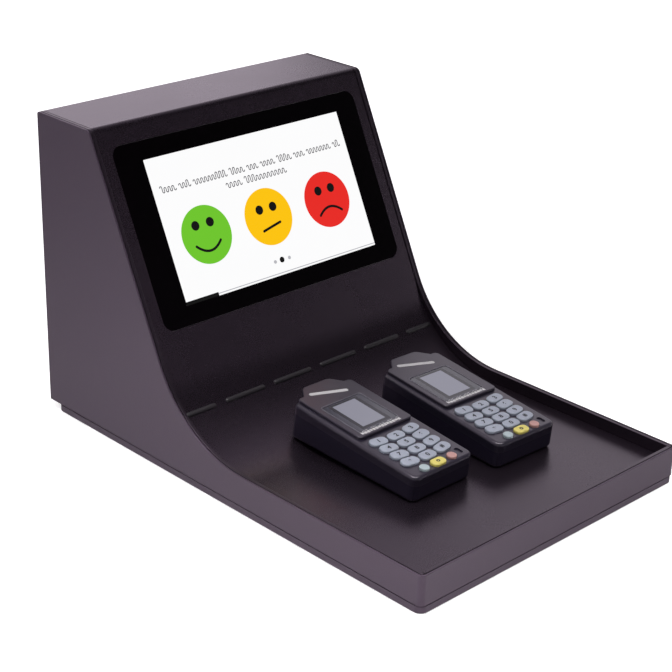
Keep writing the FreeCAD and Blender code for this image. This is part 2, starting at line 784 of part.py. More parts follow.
def makeScrew(name):
    """Low-head screw along +Z, its head resting on the plane Z = 0."""
    head = doc.addObject("Part::Cylinder", name + "Head")
    bind(head, Radius="screwHeadRadius", Height="screwHeadHeight",
         Placement__Base__z="-screwHeadHeight")
    shaft = doc.addObject("Part::Cylinder", name + "Shaft")
    bind(shaft, Radius="screwRadius", Height="screwLength")
    screw = doc.addObject("Part::Fuse", name)
    screw.Base = head
    screw.Tool = shaft
    return screw


def makeScrews():
    """The identical screws of the base plate and the rear cover."""
    screws = []
    for side, along in baseScrews:
        screw = makeScrew("BaseScrew")
        bind(screw, Placement__Base__x=f"{side}*{screwX}", Placement__Base__y=screwY[along],
             Placement__Base__z="footHeight + screwHeadHeight")
        screws.append(screw)
    for side, height in coverScrews:
        screw = makeScrew("CoverScrew")
        screw.Placement = Placement(Vector(0, 0, 0), Rotation(alongX, 90))
        bind(screw, Placement__Base__x=f"{side}*{coverScrewX}", Placement__Base__z=height,
             Placement__Base__y="caseDepth/2 - coverInset")
        screws.append(screw)
    group = doc.addObject("Part::Compound", "CaseScrews")
    group.Links = screws
    return node(group, "case_screws")


# ---------------------------------------------------------------- handsets

headTop = "headRise"
partingZ = "(-partingDrop)"
bottomSlope = "tan(wedgeAngle)"
frontEdge = "(-handsetFront)"
rearEdge = "handsetRear"


def bottomAt(along, lift="0"):
    """Height of the wedge's underside at a place along the handset, plus a lift."""
    return f"(-handsetThick - ({along} + handsetFront)*{bottomSlope} + {lift})"


def seat(frontY, acrossX, turn):
    """Placement of a handset whose front rests on the tray floor and whose rear rests on the
    curve. Both bottom edges are round, so each is followed as a circle: the front one stands one
    radius and the seat gap over the floor, the rear one that far inside the curve. A handset that
    is turned in plan meets the curve with the rear corner that reaches further back."""
    wedge = math.radians(size("wedgeAngle"))
    edgeRadius = size("bottomRound")
    clear = edgeRadius + size("seatGap")
    span = (size("handsetFront") + size("handsetRear") - 2 * edgeRadius) / math.cos(wedge)
    reach = size("innerCurveRadius")
    tangent = reach * math.tan(math.radians(90 - size("panelLean")) / 2)
    curveY = sheetKnee - tangent
    curveZ = size("trayFloor") + reach
    startY = frontY + edgeRadius
    startZ = size("trayFloor") + clear
    corner = (size("handsetWidth") / 2 - size("outlineCorner")) * abs(math.sin(math.radians(turn)))
    offY = startY + corner - curveY
    offZ = startZ - curveZ
    distance = math.hypot(offY, offZ)
    inside = reach - clear
    opening = (inside ** 2 - span ** 2 - distance ** 2) / (2 * span * distance)
    tilt = math.atan2(offZ, offY) + math.acos(opening)
    lean = tilt + wedge
    localY = -size("handsetFront") + edgeRadius
    localZ = (-size("handsetThick") - edgeRadius * math.tan(wedge) + edgeRadius / math.cos(wedge))
    spin = Rotation(alongZ, turn) * Rotation(alongX, math.degrees(lean))
    front = spin.multVec(Vector(0, localY, localZ))
    return Placement(Vector(acrossX, startY - front.y, startZ - front.z), spin)


def shellOutline(body, offset, thick, withBump):
    """Plan outline of a shell as a block, its corners rounded."""
    half = "handsetWidth/2"
    points = [(f"-{half}", frontEdge), (half, frontEdge), (half, rearEdge)]
    if withBump:
        points += [("bumpBase", rearEdge), ("bumpTip", f"{rearEdge} + bumpReach"),
                   ("-bumpTip", f"{rearEdge} + bumpReach"), ("-bumpBase", rearEdge)]
    points += [(f"-{half}", rearEdge)]
    outline = sketchOn(body, "XY_Plane", offset)
    addOutline(outline, points)
    pad(body, outline, thick)
    fillet(body, "outlineCorner", lambda edge, at: isAlong(edge, alongZ)
           and near(abs(at.x), size("handsetWidth") / 2) and at.y < 0)
    fillet(body, "outlineCorner - 2", lambda edge, at: isAlong(edge, alongZ)
           and near(abs(at.x), size("handsetWidth") / 2) and at.y > 0)
    if withBump:
        fillet(body, "outlineCorner", lambda edge, at: isAlong(edge, alongZ)
               and near(abs(at.x), size("bumpTip")) and at.y > size("handsetRear") + 1)


keyRows = (("1", "2", "3"), ("4", "5", "6"), ("7", "8", "9"), ("star", "0", "hash"))


def keyPlaces():
    """Name, kind, centre and turn of every key: four arched rows of three, then three in line."""
    places = []
    for row, names in enumerate(keyRows):
        for column, name in enumerate(names):
            side = column - 1
            places.append((name, "number", f"keyShift + {side}*keyPitchAcross",
                           f"keyShiftAlong + {1 - row}*keyPitchAlong + {side * side}*keyArch",
                           f"{side}*keyTurn"))
    last = "keyShiftAlong - 3*keyPitchAlong"
    places.append(("green", "round", "keyShift - roundKeyOffset", last, "0"))
    places.append(("yellow", "soft", "keyShift", last, "0"))
    places.append(("red", "round", "keyShift + roundKeyOffset", last, "0"))
    return places


keyHalves = {
    "number": ("keyLong/2", "keyShort/2", "keyCorner"),
    "soft": ("softKeyLong/2", "softKeyShort/2", "softKeyCorner"),
    "round": ("roundKeyRadius", "roundKeyRadius", "(roundKeyRadius - keyGap)"),
}


def keySketch(body, offset, key, growAcross, growAlong):
    """Outline of one key, grown by a length at its ends and by another one at its long sides."""
    name, kind, across, along, turn = key
    halfAcross, halfAlong, corner = keyHalves[kind]
    sketch = sketchOn(body, "XY_Plane", offset)
    sketch.AttachmentOffset = Placement(Vector(0, 0, 0), Rotation(alongZ, 10))
    bind(sketch, AttachmentOffset__Base__x=across, AttachmentOffset__Base__y=along,
         AttachmentOffset__Base__z=offset, AttachmentOffset__Rotation__Angle=turn)
    if kind == "round" and growAcross == growAlong:
        addCircle(sketch, "0", "0", f"{halfAcross} + {growAcross}")
    else:
        addBox(sketch, (f"-{halfAcross} - {growAcross}", f"-{halfAlong} - {growAlong}"),
               (f"{halfAcross} + {growAcross}", f"{halfAlong} + {growAlong}"))
    return sketch


def roundKeyCorners(body, kind, grow):
    """Round the upright corners of a key's outline that are still sharp."""
    fillet(body, f"{keyHalves[kind][2]} + {grow}", lambda edge, at: isAlong(edge, alongZ))


def makeKey(side, key):
    """Key cap: domed top over the face and a lip at both ends, under the shell, that keeps it in."""
    name, kind = key[:2]
    body = newBody("Key")
    cap = keySketch(body, "-shellWall - keyGap", key, "0", "0")
    pad(body, cap, "keyRise + shellWall + keyGap")
    if kind != "round":
        roundKeyCorners(body, kind, "0")
    fillet(body, "keyRound", lambda edge, at: near(at.z, size("keyRise")))
    flange = newBody("KeyLip")
    lip = keySketch(flange, "-shellWall - keyGap - keyLipThick", key, "keyLip", "(-keyGap)")
    pad(flange, lip, "keyLipThick")
    roundKeyCorners(flange, kind, "(-0.1)")
    joined = doc.addObject("Part::Fuse", "KeyCap")
    joined.Base = body
    joined.Tool = flange
    return node(joined, f"{side}_key_{name}")


def makeHoleTool():
    """All key openings of the front shell as one tool, as deep as the pressed lips need."""
    depth = "(shellWall + keyLipThick + keyTravel + 2*keyGap)"
    tools = []
    for key in keyPlaces():
        body = newBody("KeyHole")
        hole = keySketch(body, f"-{depth}", key, "keyGap", "keyGap")
        pad(body, hole, f"{depth} + 1")
        if key[1] != "round":
            roundKeyCorners(body, key[1], "keyGap")
        tools.append(body)
    return tools


def pillarPair(sketch, along, radius):
    for side in (-1, 1):
        addCircle(sketch, f"{side}*pillarAcross", along, radius)


def pillarCircles(sketch, radius):
    for along in ("pillarFront", "pillarRear"):
        pillarPair(sketch, along, radius)


def hollowUpper(body):
    """Hollow of the upper shell: under the key face, and higher under the raised head."""
    hollow = sketchOn(body, "YZ_Plane")
    ceiling = "-shellWall"
    addOutline(hollow, [
        ("-handsetFront + shellWall", "-partingDrop - 1"), ("handsetRear - shellWall", "-partingDrop - 1"),
        ("handsetRear - shellWall", "headRise - shellWall"),
        ("stepFront + shellWall", "headRise - shellWall"), ("stepFront + shellWall", ceiling),
        ("-handsetFront + shellWall", ceiling)])
    pocket(body, hollow, "headWidth - shellWall", middle=True)


def makeHead():
    """Raised head that carries the window, with a rear bump; it stands in from the shell's sides."""
    body = newBody("Head")
    half = "headWidth/2"
    outline = sketchOn(body, "XY_Plane", "-topRound - 0.3")
    addOutline(outline, [(f"-{half}", "stepFront"), (half, "stepFront"), (half, rearEdge),
                         ("bumpBase", rearEdge), ("bumpTip", f"{rearEdge} + bumpReach"),
                         ("-bumpTip", f"{rearEdge} + bumpReach"), ("-bumpBase", rearEdge),
                         (f"-{half}", rearEdge)])
    pad(body, outline, "headRise + topRound + 0.3")
    fillet(body, "headCorner", lambda edge, at: isAlong(edge, alongZ)
           and near(abs(at.x), size("headWidth") / 2))
    fillet(body, "outlineCorner", lambda edge, at: isAlong(edge, alongZ)
           and near(abs(at.x), size("bumpTip")) and at.y > size("handsetRear") + 1)
    fillet(body, "headRound", lambda edge, at: near(at.z, size("headRise")))
    hollowUpper(body)
    recess = sketchOn(body, "XY_Plane", headTop)
    addBox(recess, ("windowShift - windowWidth/2", "windowMiddle - windowLength/2"),
           ("windowShift + windowWidth/2", "windowMiddle + windowLength/2"))
    pocket(body, recess, "windowThick")
    opening = sketchOn(body, "XY_Plane", headTop)
    addBox(opening, ("windowShift - windowWidth/2 + windowLedge", "windowMiddle - windowLength/2 + windowLedge"),
           ("windowShift + windowWidth/2 - windowLedge", "windowMiddle + windowLength/2 - windowLedge"))
    pocket(body, opening, "headRise + 1")
    return body


def makeFrontShell(side):
    """Upper shell: keypad face with round shoulders, side walls, pillars and the raised head."""
    body = newBody("FrontShell")
    shellOutline(body, partingZ, "partingDrop", True)
    fillet(body, "topRound", lambda edge, at: near(at.z, 0))
    hollowUpper(body)
    low = sketchOn(body, "YZ_Plane")
    lowTop = "(-topRound - shellWall/2)"
    addBox(low, ("-handsetFront + shellWall", "-partingDrop - 1"), ("handsetRear - shellWall", lowTop))
    pocket(body, low, "handsetWidth - 2*shellWall", middle=True)

    pillars = sketchOn(body, "XY_Plane", "-boardDrop")
    pillarCircles(pillars, "pillarRadius")
    pad(body, pillars, "boardDrop + headRise - shellWall/2")
    bores = sketchOn(body, "XY_Plane", "-boardDrop - 1")
    pillarCircles(bores, "smallScrewRadius + smallScrewGap")
    pocket(body, bores, "boardDrop + 1 + headRise - shellWall", reverse=True)

    grip = sketchOn(body, "XY_Plane", "1")
    addBox(grip, ("gripAcross - gripShort/2", "gripAlong - gripLong/2"),
           ("gripAcross + gripShort/2", "gripAlong + gripLong/2"))
    pocket(body, grip, "gripDepth + 1")
    fillet(body, "gripShort/2 - 0.1", lambda edge, at: isAlong(edge, alongZ)
           and near(abs(at.x - size("gripAcross")), size("gripShort") / 2)
           and near(abs(at.y - size("gripAlong")), size("gripLong") / 2))

    whole = doc.addObject("Part::Fuse", "ShellWithHead")
    whole.Base = body
    whole.Tool = makeHead()
    holes = doc.addObject("Part::MultiFuse", "KeyHoles")
    holes.Shapes = makeHoleTool()
    shell = doc.addObject("Part::Cut", "PiercedShell")
    shell.Base = whole
    shell.Tool = holes
    return node(shell, f"{side}_handset_front_shell")


def makeBackShell(side):
    """Lower shell: wedge-shaped tub with rounded bottom edges and counterbored screw posts."""
    body = newBody("BackShell")
    deepest = "(handsetThick + (handsetRear + handsetFront)*tan(wedgeAngle) + 2)"
    shellOutline(body, f"-{deepest}", f"{deepest} - partingDrop", False)
    under = sketchOn(body, "YZ_Plane")
    addOutline(under, [("-handsetFront - 5", bottomAt("(-handsetFront - 5)")),
                       ("-handsetFront - 5", f"-{deepest} - 5"), ("handsetRear + 5", f"-{deepest} - 5"),
                       ("handsetRear + 5", bottomAt("(handsetRear + 5)"))])
    pocket(body, under, "handsetWidth + 10", middle=True)
    slope = math.tan(math.radians(size("wedgeAngle")))

    def onBottom(edge, at):
        level = -size("handsetThick") - (at.y + size("handsetFront")) * slope
        return near(at.z, level)

    fillet(body, "bottomRound", onBottom)
    hollow = sketchOn(body, "YZ_Plane")
    inFront = "(-handsetFront + shellWall)"
    inRear = "(handsetRear - shellWall)"
    addOutline(hollow, [(inFront, "-partingDrop + 1"), (inRear, "-partingDrop + 1"),
                        (inRear, bottomAt(inRear, "shellWall")), (inFront, bottomAt(inFront, "shellWall"))])
    pocket(body, hollow, "handsetWidth - 2*shellWall", middle=True)
    for along in ("pillarFront", "pillarRear"):
        posts = sketchOn(body, "XY_Plane", "-boardDrop - boardSheet")
        pillarPair(posts, along, "pillarRadius + 0.6")
        pad(body, posts, f"-boardDrop - boardSheet - {bottomAt(along, 'shellWall/2')}", reverse=True)
    bores = sketchOn(body, "XY_Plane", "-boardDrop")
    pillarCircles(bores, "smallScrewRadius + smallScrewGap")
    pocket(body, bores, "handsetThick + handsetRear")
    wells = sketchOn(body, "XY_Plane", screwSeat)
    pillarCircles(wells, "smallHeadRadius + 0.2")
    pocket(body, wells, "handsetThick + handsetRear")
    return node(body, f"{side}_handset_back_shell")


# depth of the surface on which the shell screws' heads sit
screwSeat = "(-handsetThick + 3)"


def makeBlock(name, offset, thick, wide, low, high, shift="0", corner=None):
    """Block between two places along the handset, centred across it or shifted."""
    body = newBody(name)
    outline = sketchOn(body, "XY_Plane", offset)
    addBox(outline, (f"{shift} - {wide}/2", low), (f"{shift} + {wide}/2", high))
    pad(body, outline, thick)
    if corner:
        fillet(body, corner, lambda edge, at: isAlong(edge, alongZ))
    return body


def makeInsides(side):
    """Window, display, keypad mat, board, battery and screws of one handset."""
    pane = makeBlock("Window", "headRise - windowThick", "windowThick", "(windowWidth - 2*windowGap)",
                     "windowMiddle - windowLength/2 + windowGap",
                     "windowMiddle + windowLength/2 - windowGap", "windowShift", "windowCorner")
    node(pane, f"{side}_handset_window")
    display = makeBlock("Lcd", "headRise - shellWall - lcdThick", "lcdThick", "lcdWidth",
                        "windowMiddle - lcdLength/2", "windowMiddle + lcdLength/2", "windowShift")
    node(display, f"{side}_handset_lcd")
    mat = makeBlock("KeypadMat", "-boardDrop", "matThick", "matWide",
                    "-handsetFront + shellWall + 3", "keyPitchAlong + keyShort/2 + 0.5")
    pads = sketchOn(mat, "XY_Plane", "-boardDrop + matThick")
    for name, kind, across, along, turn in keyPlaces():
        addCircle(pads, across, along, "padRadius")
    pad(mat, pads, "padRise")
    node(mat, f"{side}_handset_keypad_mat")
    board = makeBlock("CircuitBoard", "-boardDrop - boardSheet", "boardSheet", "boardWide",
                      "(handsetRear - handsetFront)/2 - boardLong/2",
                      "(handsetRear - handsetFront)/2 + boardLong/2", corner="boardCorner")
    holes = sketchOn(board, "XY_Plane")
    pillarCircles(holes, "smallScrewRadius + 0.3")
    pocket(board, holes, "boardDrop + boardSheet + 1")
    node(board, f"{side}_handset_circuit_board")
    battery = makeBlock("Battery", "-boardDrop - boardSheet - batteryThick", "batteryThick",
                        "batteryWide", "batteryMiddle - batteryLong/2",
                        "batteryMiddle + batteryLong/2", corner="2")
    node(battery, f"{side}_handset_battery")
    screws = []
    for across in (-1, 1):
        for along in ("pillarFront", "pillarRear"):
            head = doc.addObject("Part::Cylinder", "SmallHead")
            bind(head, Radius="smallHeadRadius", Height="smallHeadHeight",
                 Placement__Base__x=f"{across}*pillarAcross", Placement__Base__y=along,
                 Placement__Base__z=f"{screwSeat} - smallHeadHeight")
            shaft = doc.addObject("Part::Cylinder", "SmallShaft")
            bind(shaft, Radius="smallScrewRadius", Height="handsetThick - 4",
                 Placement__Base__x=f"{across}*pillarAcross", Placement__Base__y=along,
                 Placement__Base__z=screwSeat)
            screw = doc.addObject("Part::Fuse", "SmallScrew")
            screw.Base = head
            screw.Tool = shaft
            screws.append(screw)
    group = doc.addObject("Part::Compound", "HandsetScrews")
    group.Links = screws
    node(group, f"{side}_handset_screws")


def makeHandset(side):
    """One handset with its fifteen keys, set down in the tray."""
    first = len(nodes)
    makeFrontShell(side)
    makeBackShell(side)
    makeInsides(side)
    for key in keyPlaces():
        makeKey(side, key)
    place = seat(size(f"{side}HandsetFront"), size(f"{side}HandsetX"), size(f"{side}HandsetTurn"))
    for item in nodes[first:]:
        item.Placement = place


# ---------------------------------------------------------------- build and export

makeWrap()
makeSidePlate(-1, "left_side_plate")
makeSidePlate(1, "right_side_plate")
makeFascia()
makeGlass()
makeDisplay()
makeBracket()
makeNuts()
makeBoard()
makeCover()
makeInlet()
makeBase()
makeFeet()
makeScrews()
makeHandset("left")
makeHandset("right")
doc.recompute()

for item in doc.Objects:
    if "Invalid" in item.State or "Error" in item.State:
        raise RuntimeError(f"{item.Name} ({item.Label}) failed to recompute")
for item in nodes:
    if item.Shape.isNull() or not item.Shape.isValid():
        raise RuntimeError(f"{item.Label} has no valid shape")

os.makedirs("parts", exist_ok=True)
for item in nodes:
    item.Shape.exportStep(f"parts/{item.Label}.step")
print(len(nodes), "nodes written")
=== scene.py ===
import json
import math

import bmesh
import bpy
import numpy as np
from mathutils import Matrix, Vector


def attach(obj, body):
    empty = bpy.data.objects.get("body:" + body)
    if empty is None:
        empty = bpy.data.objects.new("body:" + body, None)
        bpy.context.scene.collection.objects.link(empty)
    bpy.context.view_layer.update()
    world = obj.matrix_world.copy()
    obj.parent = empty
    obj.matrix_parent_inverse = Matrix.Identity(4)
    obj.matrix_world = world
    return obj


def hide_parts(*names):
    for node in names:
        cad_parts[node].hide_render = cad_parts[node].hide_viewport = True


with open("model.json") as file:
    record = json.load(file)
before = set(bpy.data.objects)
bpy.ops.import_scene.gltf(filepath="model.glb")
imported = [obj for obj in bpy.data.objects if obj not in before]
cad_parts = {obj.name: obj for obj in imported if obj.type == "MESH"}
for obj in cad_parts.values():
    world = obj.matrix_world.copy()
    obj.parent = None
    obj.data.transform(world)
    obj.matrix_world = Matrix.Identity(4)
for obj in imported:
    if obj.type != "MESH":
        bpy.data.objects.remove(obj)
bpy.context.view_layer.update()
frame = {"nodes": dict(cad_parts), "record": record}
mm = 0.001
sides = ("left", "right")
print("frame loaded:", len(frame["nodes"]), "nodes")


def addObject(name, data):
    item = bpy.data.objects.new(name, data)
    bpy.context.scene.collection.objects.link(item)
    return item


cameraSet = {
    "place": (-0.954471, -0.948851, 0.700519),
    "yaw": 0.7766146,  # from +Y towards +X
    "pitch": 0.4183307,  # downwards
    "roll": 0.0267033,
    "lens": 91.92,
    "sensor": 36,
}


def lookMatrix(place, yaw, pitch, roll):
    # -Z looks ahead, by yaw and pitch; the level right hand and the up direction turn about it by the roll
    ahead = np.array([math.sin(yaw) * math.cos(pitch), math.cos(yaw) * math.cos(pitch), -math.sin(pitch)])
    level = np.cross(ahead, [0, 0, 1])
    level /= np.linalg.norm(level)
    above = np.cross(level, ahead)
    right = math.cos(roll) * level + math.sin(roll) * above
    up = -math.sin(roll) * level + math.cos(roll) * above
    turn = Matrix((right, up, -ahead)).transposed().to_4x4()
    return Matrix.Translation(place) @ turn


def makeCamera():
    data = bpy.data.cameras.new("camera")
    data.lens = cameraSet["lens"]
    data.sensor_width = cameraSet["sensor"]
    camera = addObject("camera", data)
    form = cameraSet
    camera.matrix_world = lookMatrix(form["place"], form["yaw"], form["pitch"], form["roll"])
    bpy.context.scene.camera = camera
    bpy.context.scene.view_settings.view_transform = "Standard"


def nodeTree(owner):
    owner.use_nodes = True
    owner.node_tree.nodes.clear()
    return owner.node_tree


def addNode(tree, kind, sockets=None, **settings):
    # settings by name, input sockets by name or number
    made = tree.nodes.new(kind)
    for key, value in settings.items():
        setattr(made, key, value)
    for key, value in (sockets or {}).items():
        made.inputs[key].default_value = value
    return made


def addFade(tree, span, low, high):
    # smooth step from low to high while the value goes through the span
    sockets = {"From Min": span[0], "From Max": span[1], "To Min": low, "To Max": high}
    return addNode(tree, "ShaderNodeMapRange", sockets, interpolation_type="SMOOTHSTEP")


floorSet = {
    "reach": 6.0,
    "colour": (0.80, 0.80, 0.80, 1),
    "span": (0.15, 0.55),  # distances from the middle between which the lift grows
    "nearLift": 0.62,
    "farLift": 1.0,
}


def makeFloor():
    # pale sheet of paper; the lift whitens it for the camera alone and leaves the shadow near the object
    reach = floorSet["reach"]
    mesh = bpy.data.meshes.new("floor")
    corners = [(-reach, -reach, 0), (reach, -reach, 0), (reach, reach, 0), (-reach, reach, 0)]
    mesh.from_pydata(corners, [], [(0, 1, 2, 3)])
    floor = addObject("floor", mesh)
    material = bpy.data.materials.new("floorPaper")
    tree = nodeTree(material)
    link = tree.links.new
    paper = addNode(tree, "ShaderNodeBsdfDiffuse", {"Color": floorSet["colour"]})
    glow = addNode(tree, "ShaderNodeEmission", {"Color": (1, 1, 1, 1)})
    path = addNode(tree, "ShaderNodeLightPath")
    where = addNode(tree, "ShaderNodeTexCoord")
    away = addNode(tree, "ShaderNodeVectorMath", operation="LENGTH")
    lift = addFade(tree, floorSet["span"], floorSet["nearLift"], floorSet["farLift"])
    level = addNode(tree, "ShaderNodeMath", operation="MULTIPLY")
    both = addNode(tree, "ShaderNodeAddShader")
    out = addNode(tree, "ShaderNodeOutputMaterial")
    link(where.outputs["Object"], away.inputs[0])
    link(away.outputs["Value"], lift.inputs["Value"])
    link(path.outputs["Is Camera Ray"], level.inputs[0])
    link(lift.outputs["Result"], level.inputs[1])
    link(level.outputs[0], glow.inputs["Strength"])
    link(paper.outputs[0], both.inputs[0])
    link(glow.outputs[0], both.inputs[1])
    link(both.outputs[0], out.inputs["Surface"])
    mesh.materials.append(material)


worldSet = {
    "lightTint": (1.0, 0.985, 1.0, 1), "lightSpan": (-0.5, 0.7), "lightFront": 0.16, "lightRear": 0.3,
    "mirrorTint": (0.80, 0.73, 0.82, 1), "mirrorSpan": (-0.45, 0.45), "mirrorFront": 0.23, "mirrorRear": 0.65,
    "aboveSpan": (0.34, 0.48), "mirrorAbove": 0.02,
}


def makeWorld():
    # rays that see the room directly find it white; what polished faces mirror is light behind the
    # object and dims towards the front of the room, where it is darkest above
    world = bpy.data.worlds.new("studio")
    bpy.context.scene.world = world
    tree = nodeTree(world)
    link = tree.links.new
    where = addNode(tree, "ShaderNodeTexCoord")
    split = addNode(tree, "ShaderNodeSeparateXYZ")
    path = addNode(tree, "ShaderNodeLightPath")
    plain = addNode(tree, "ShaderNodeBackground", {"Color": worldSet["lightTint"]})
    plainFade = addFade(tree, worldSet["lightSpan"], worldSet["lightFront"], worldSet["lightRear"])
    mirrored = addNode(tree, "ShaderNodeBackground", {"Color": worldSet["mirrorTint"]})
    mirroredFade = addFade(tree, worldSet["mirrorSpan"], worldSet["mirrorFront"], worldSet["mirrorRear"])
    above = addFade(tree, worldSet["aboveSpan"], worldSet["mirrorFront"], worldSet["mirrorAbove"])
    white = addNode(tree, "ShaderNodeBackground", {"Color": (1, 1, 1, 1), "Strength": 1.0})
    lightMix = addNode(tree, "ShaderNodeMixShader")
    cameraMix = addNode(tree, "ShaderNodeMixShader")
    out = addNode(tree, "ShaderNodeOutputWorld")
    link(where.outputs["Generated"], split.inputs[0])
    for fade, shader in ((plainFade, plain), (mirroredFade, mirrored)):
        link(split.outputs["Y"], fade.inputs["Value"])
        link(fade.outputs["Result"], shader.inputs["Strength"])
    link(split.outputs["Z"], above.inputs["Value"])
    link(above.outputs["Result"], mirroredFade.inputs["To Min"])
    link(path.outputs["Is Glossy Ray"], lightMix.inputs["Fac"])
    link(plain.outputs[0], lightMix.inputs[1])
    link(mirrored.outputs[0], lightMix.inputs[2])
    link(path.outputs["Is Camera Ray"], cameraMix.inputs["Fac"])
    link(lightMix.outputs[0], cameraMix.inputs[1])
    link(white.outputs[0], cameraMix.inputs[2])
    link(cameraMix.outputs[0], out.inputs["Surface"])


lamps = {
    "softRear": {
        "place": (0.35, 1.75, 0.9), "aim": (0, 0, 0.1), "size": (2.2, 1.1), "watts": 6.7,
        "colour": (1, 0.9, 1)},
    "softRight": {
        "place": (1.75, 0.8, 1.1), "aim": (0, -0.2, 0.02), "size": (0.9, 0.7), "watts": 1.3},
    "softFrontRight": {
        "place": (2.0, -1.2, 0.5), "aim": (0, 0, 0.15), "size": (0.4, 0.6), "watts": 1.25},
    "floorWashLeft": {
        "place": (-0.72, -0.14, 1.4), "aim": (-0.72, -0.14, 0), "size": (0.8, 0.9), "watts": 6.3,
        "spread": 60},
    "floorWashFront": {
        "place": (0.62, -1.05, 1.5), "aim": (0.62, -1.05, 0), "size": (1.8, 1.0), "watts": 16.0,
        "spread": 70},
    "softLeft": {
        "place": (-1.9, -0.9, 0.9), "aim": (0, 0, 0.1), "size": (1.2, 1.0), "watts": 1.2},
}


def addLamp(name, place, aim, size, watts, spread=180, colour=(1, 0.985, 1)):
    data = bpy.data.lights.new(name, "AREA")
    data.shape = "RECTANGLE"
    data.size, data.size_y = size
    data.energy = watts
    data.spread = math.radians(spread)
    data.color = colour
    toAim = Vector(aim) - Vector(place)
    turn = toAim.to_track_quat("-Z", "Y").to_matrix().to_4x4()
    addObject(name, data).matrix_world = Matrix.Translation(place) @ turn


makeCamera()
makeFloor()
makeWorld()
for name, values in lamps.items():
    addLamp(name, **values)
print("camera, floor and lamps set")


grainSet = {
    "fine": {"Detail": 2.0, "Roughness": 0.6},
    "coarse": {"Detail": 3.0, "Roughness": 0.5}, "coarseScale": 0.3,  # as a share of the fine scale
    "wide": {"Scale": 9.0, "Detail": 3.0, "Roughness": 0.55},
    "fineTone": 0.5, "middleTone": 0.75,  # the fine noise's part in the tone, and the mean of the two noises
}


def makeGrainGroup():
    # orange-peel texture of a coat: height is a fine plus a coarser noise; the wide noise and part of the
    # fine one, less their mean, shift the colour by the share Tone and the roughness by Spread
    group = bpy.data.node_groups.new("coatGrain", "ShaderNodeTree")
    for label in ("Scale", "Tone", "Colour", "Gloss", "Spread"):
        kind = "NodeSocketColor" if label == "Colour" else "NodeSocketFloat"
        group.interface.new_socket(name=label, in_out="INPUT", socket_type=kind)
    for label in ("Height", "Colour", "Roughness"):
        kind = "NodeSocketColor" if label == "Colour" else "NodeSocketFloat"
        group.interface.new_socket(name=label, in_out="OUTPUT", socket_type=kind)
    start = group.nodes.new("NodeGroupInput")
    end = group.nodes.new("NodeGroupOutput")
    link = group.links.new
    where = addNode(group, "ShaderNodeTexCoord")
    fine = addNode(group, "ShaderNodeTexNoise", grainSet["fine"])
    coarse = addNode(group, "ShaderNodeTexNoise", grainSet["coarse"])
    wide = addNode(group, "ShaderNodeTexNoise", grainSet["wide"])
    coarser = addNode(group, "ShaderNodeMath", {1: grainSet["coarseScale"]}, operation="MULTIPLY")
    for noise in (fine, coarse, wide):
        link(where.outputs["Object"], noise.inputs["Vector"])
    link(start.outputs["Scale"], fine.inputs["Scale"])
    link(start.outputs["Scale"], coarser.inputs[0])
    link(coarser.outputs[0], coarse.inputs["Scale"])
    height = addNode(group, "ShaderNodeMath", operation="ADD")
    link(fine.outputs["Fac"], height.inputs[0])
    link(coarse.outputs["Fac"], height.inputs[1])
    link(height.outputs[0], end.inputs["Height"])
    blend = addNode(group, "ShaderNodeMath", {1: grainSet["fineTone"]}, operation="MULTIPLY_ADD")
    link(fine.outputs["Fac"], blend.inputs[0])
    link(wide.outputs["Fac"], blend.inputs[2])
    shift = addNode(group, "ShaderNodeMath", {1: grainSet["middleTone"]}, operation="SUBTRACT")
    link(blend.outputs[0], shift.inputs[0])
    share = addNode(group, "ShaderNodeMath", {2: 1.0}, operation="MULTIPLY_ADD")
    link(shift.outputs[0], share.inputs[0])
    link(start.outputs["Tone"], share.inputs[1])
    tint = addNode(group, "ShaderNodeVectorMath", operation="SCALE")
    link(start.outputs["Colour"], tint.inputs[0])
    link(share.outputs[0], tint.inputs["Scale"])
    link(tint.outputs[0], end.inputs["Colour"])
    rough = addNode(group, "ShaderNodeMath", operation="MULTIPLY_ADD")
    link(shift.outputs[0], rough.inputs[0])
    link(start.outputs["Spread"], rough.inputs[1])
    link(start.outputs["Gloss"], rough.inputs[2])
    link(rough.outputs[0], end.inputs["Roughness"])
    return group


grainGroup = makeGrainGroup()


def srgb(red, green, blue):
    # screen values 0 to 255 to linear light
    levels = (red / 255, green / 255, blue / 255)
    linear = [((level + 0.055) / 1.055) ** 2.4 if level > 0.04 else level / 12.92 for level in levels]
    return (*linear, 1.0)


def grainyMaterial(name, colour, gloss, grain=900.0, depth=0.00012, tone=0.12, spread=0.1, sockets=None):
    # plain coated or moulded surface: colour and roughness vary a little, height gives the texture
    material = bpy.data.materials.new(name)
    tree = nodeTree(material)
    link = tree.links.new
    surface = addNode(tree, "ShaderNodeBsdfPrincipled", sockets)
    effect = addNode(tree, "ShaderNodeGroup", node_tree=grainGroup)
    values = {"Scale": grain, "Tone": tone, "Colour": colour, "Gloss": gloss, "Spread": spread}
    for key, value in values.items():
        effect.inputs[key].default_value = value
    bump = addNode(tree, "ShaderNodeBump", {"Strength": 1.0, "Distance": depth})
    out = addNode(tree, "ShaderNodeOutputMaterial")
    link(effect.outputs["Colour"], surface.inputs["Base Color"])
    link(effect.outputs["Roughness"], surface.inputs["Roughness"])
    link(effect.outputs["Height"], bump.inputs["Height"])
    link(bump.outputs[0], surface.inputs["Normal"])
    link(surface.outputs[0], out.inputs["Surface"])
    return material


glowSet = {"black": (0.004, 0.004, 0.004, 1), "specular": 0.06, "unevenScale": 30.0, "unevenLow": 0.985}


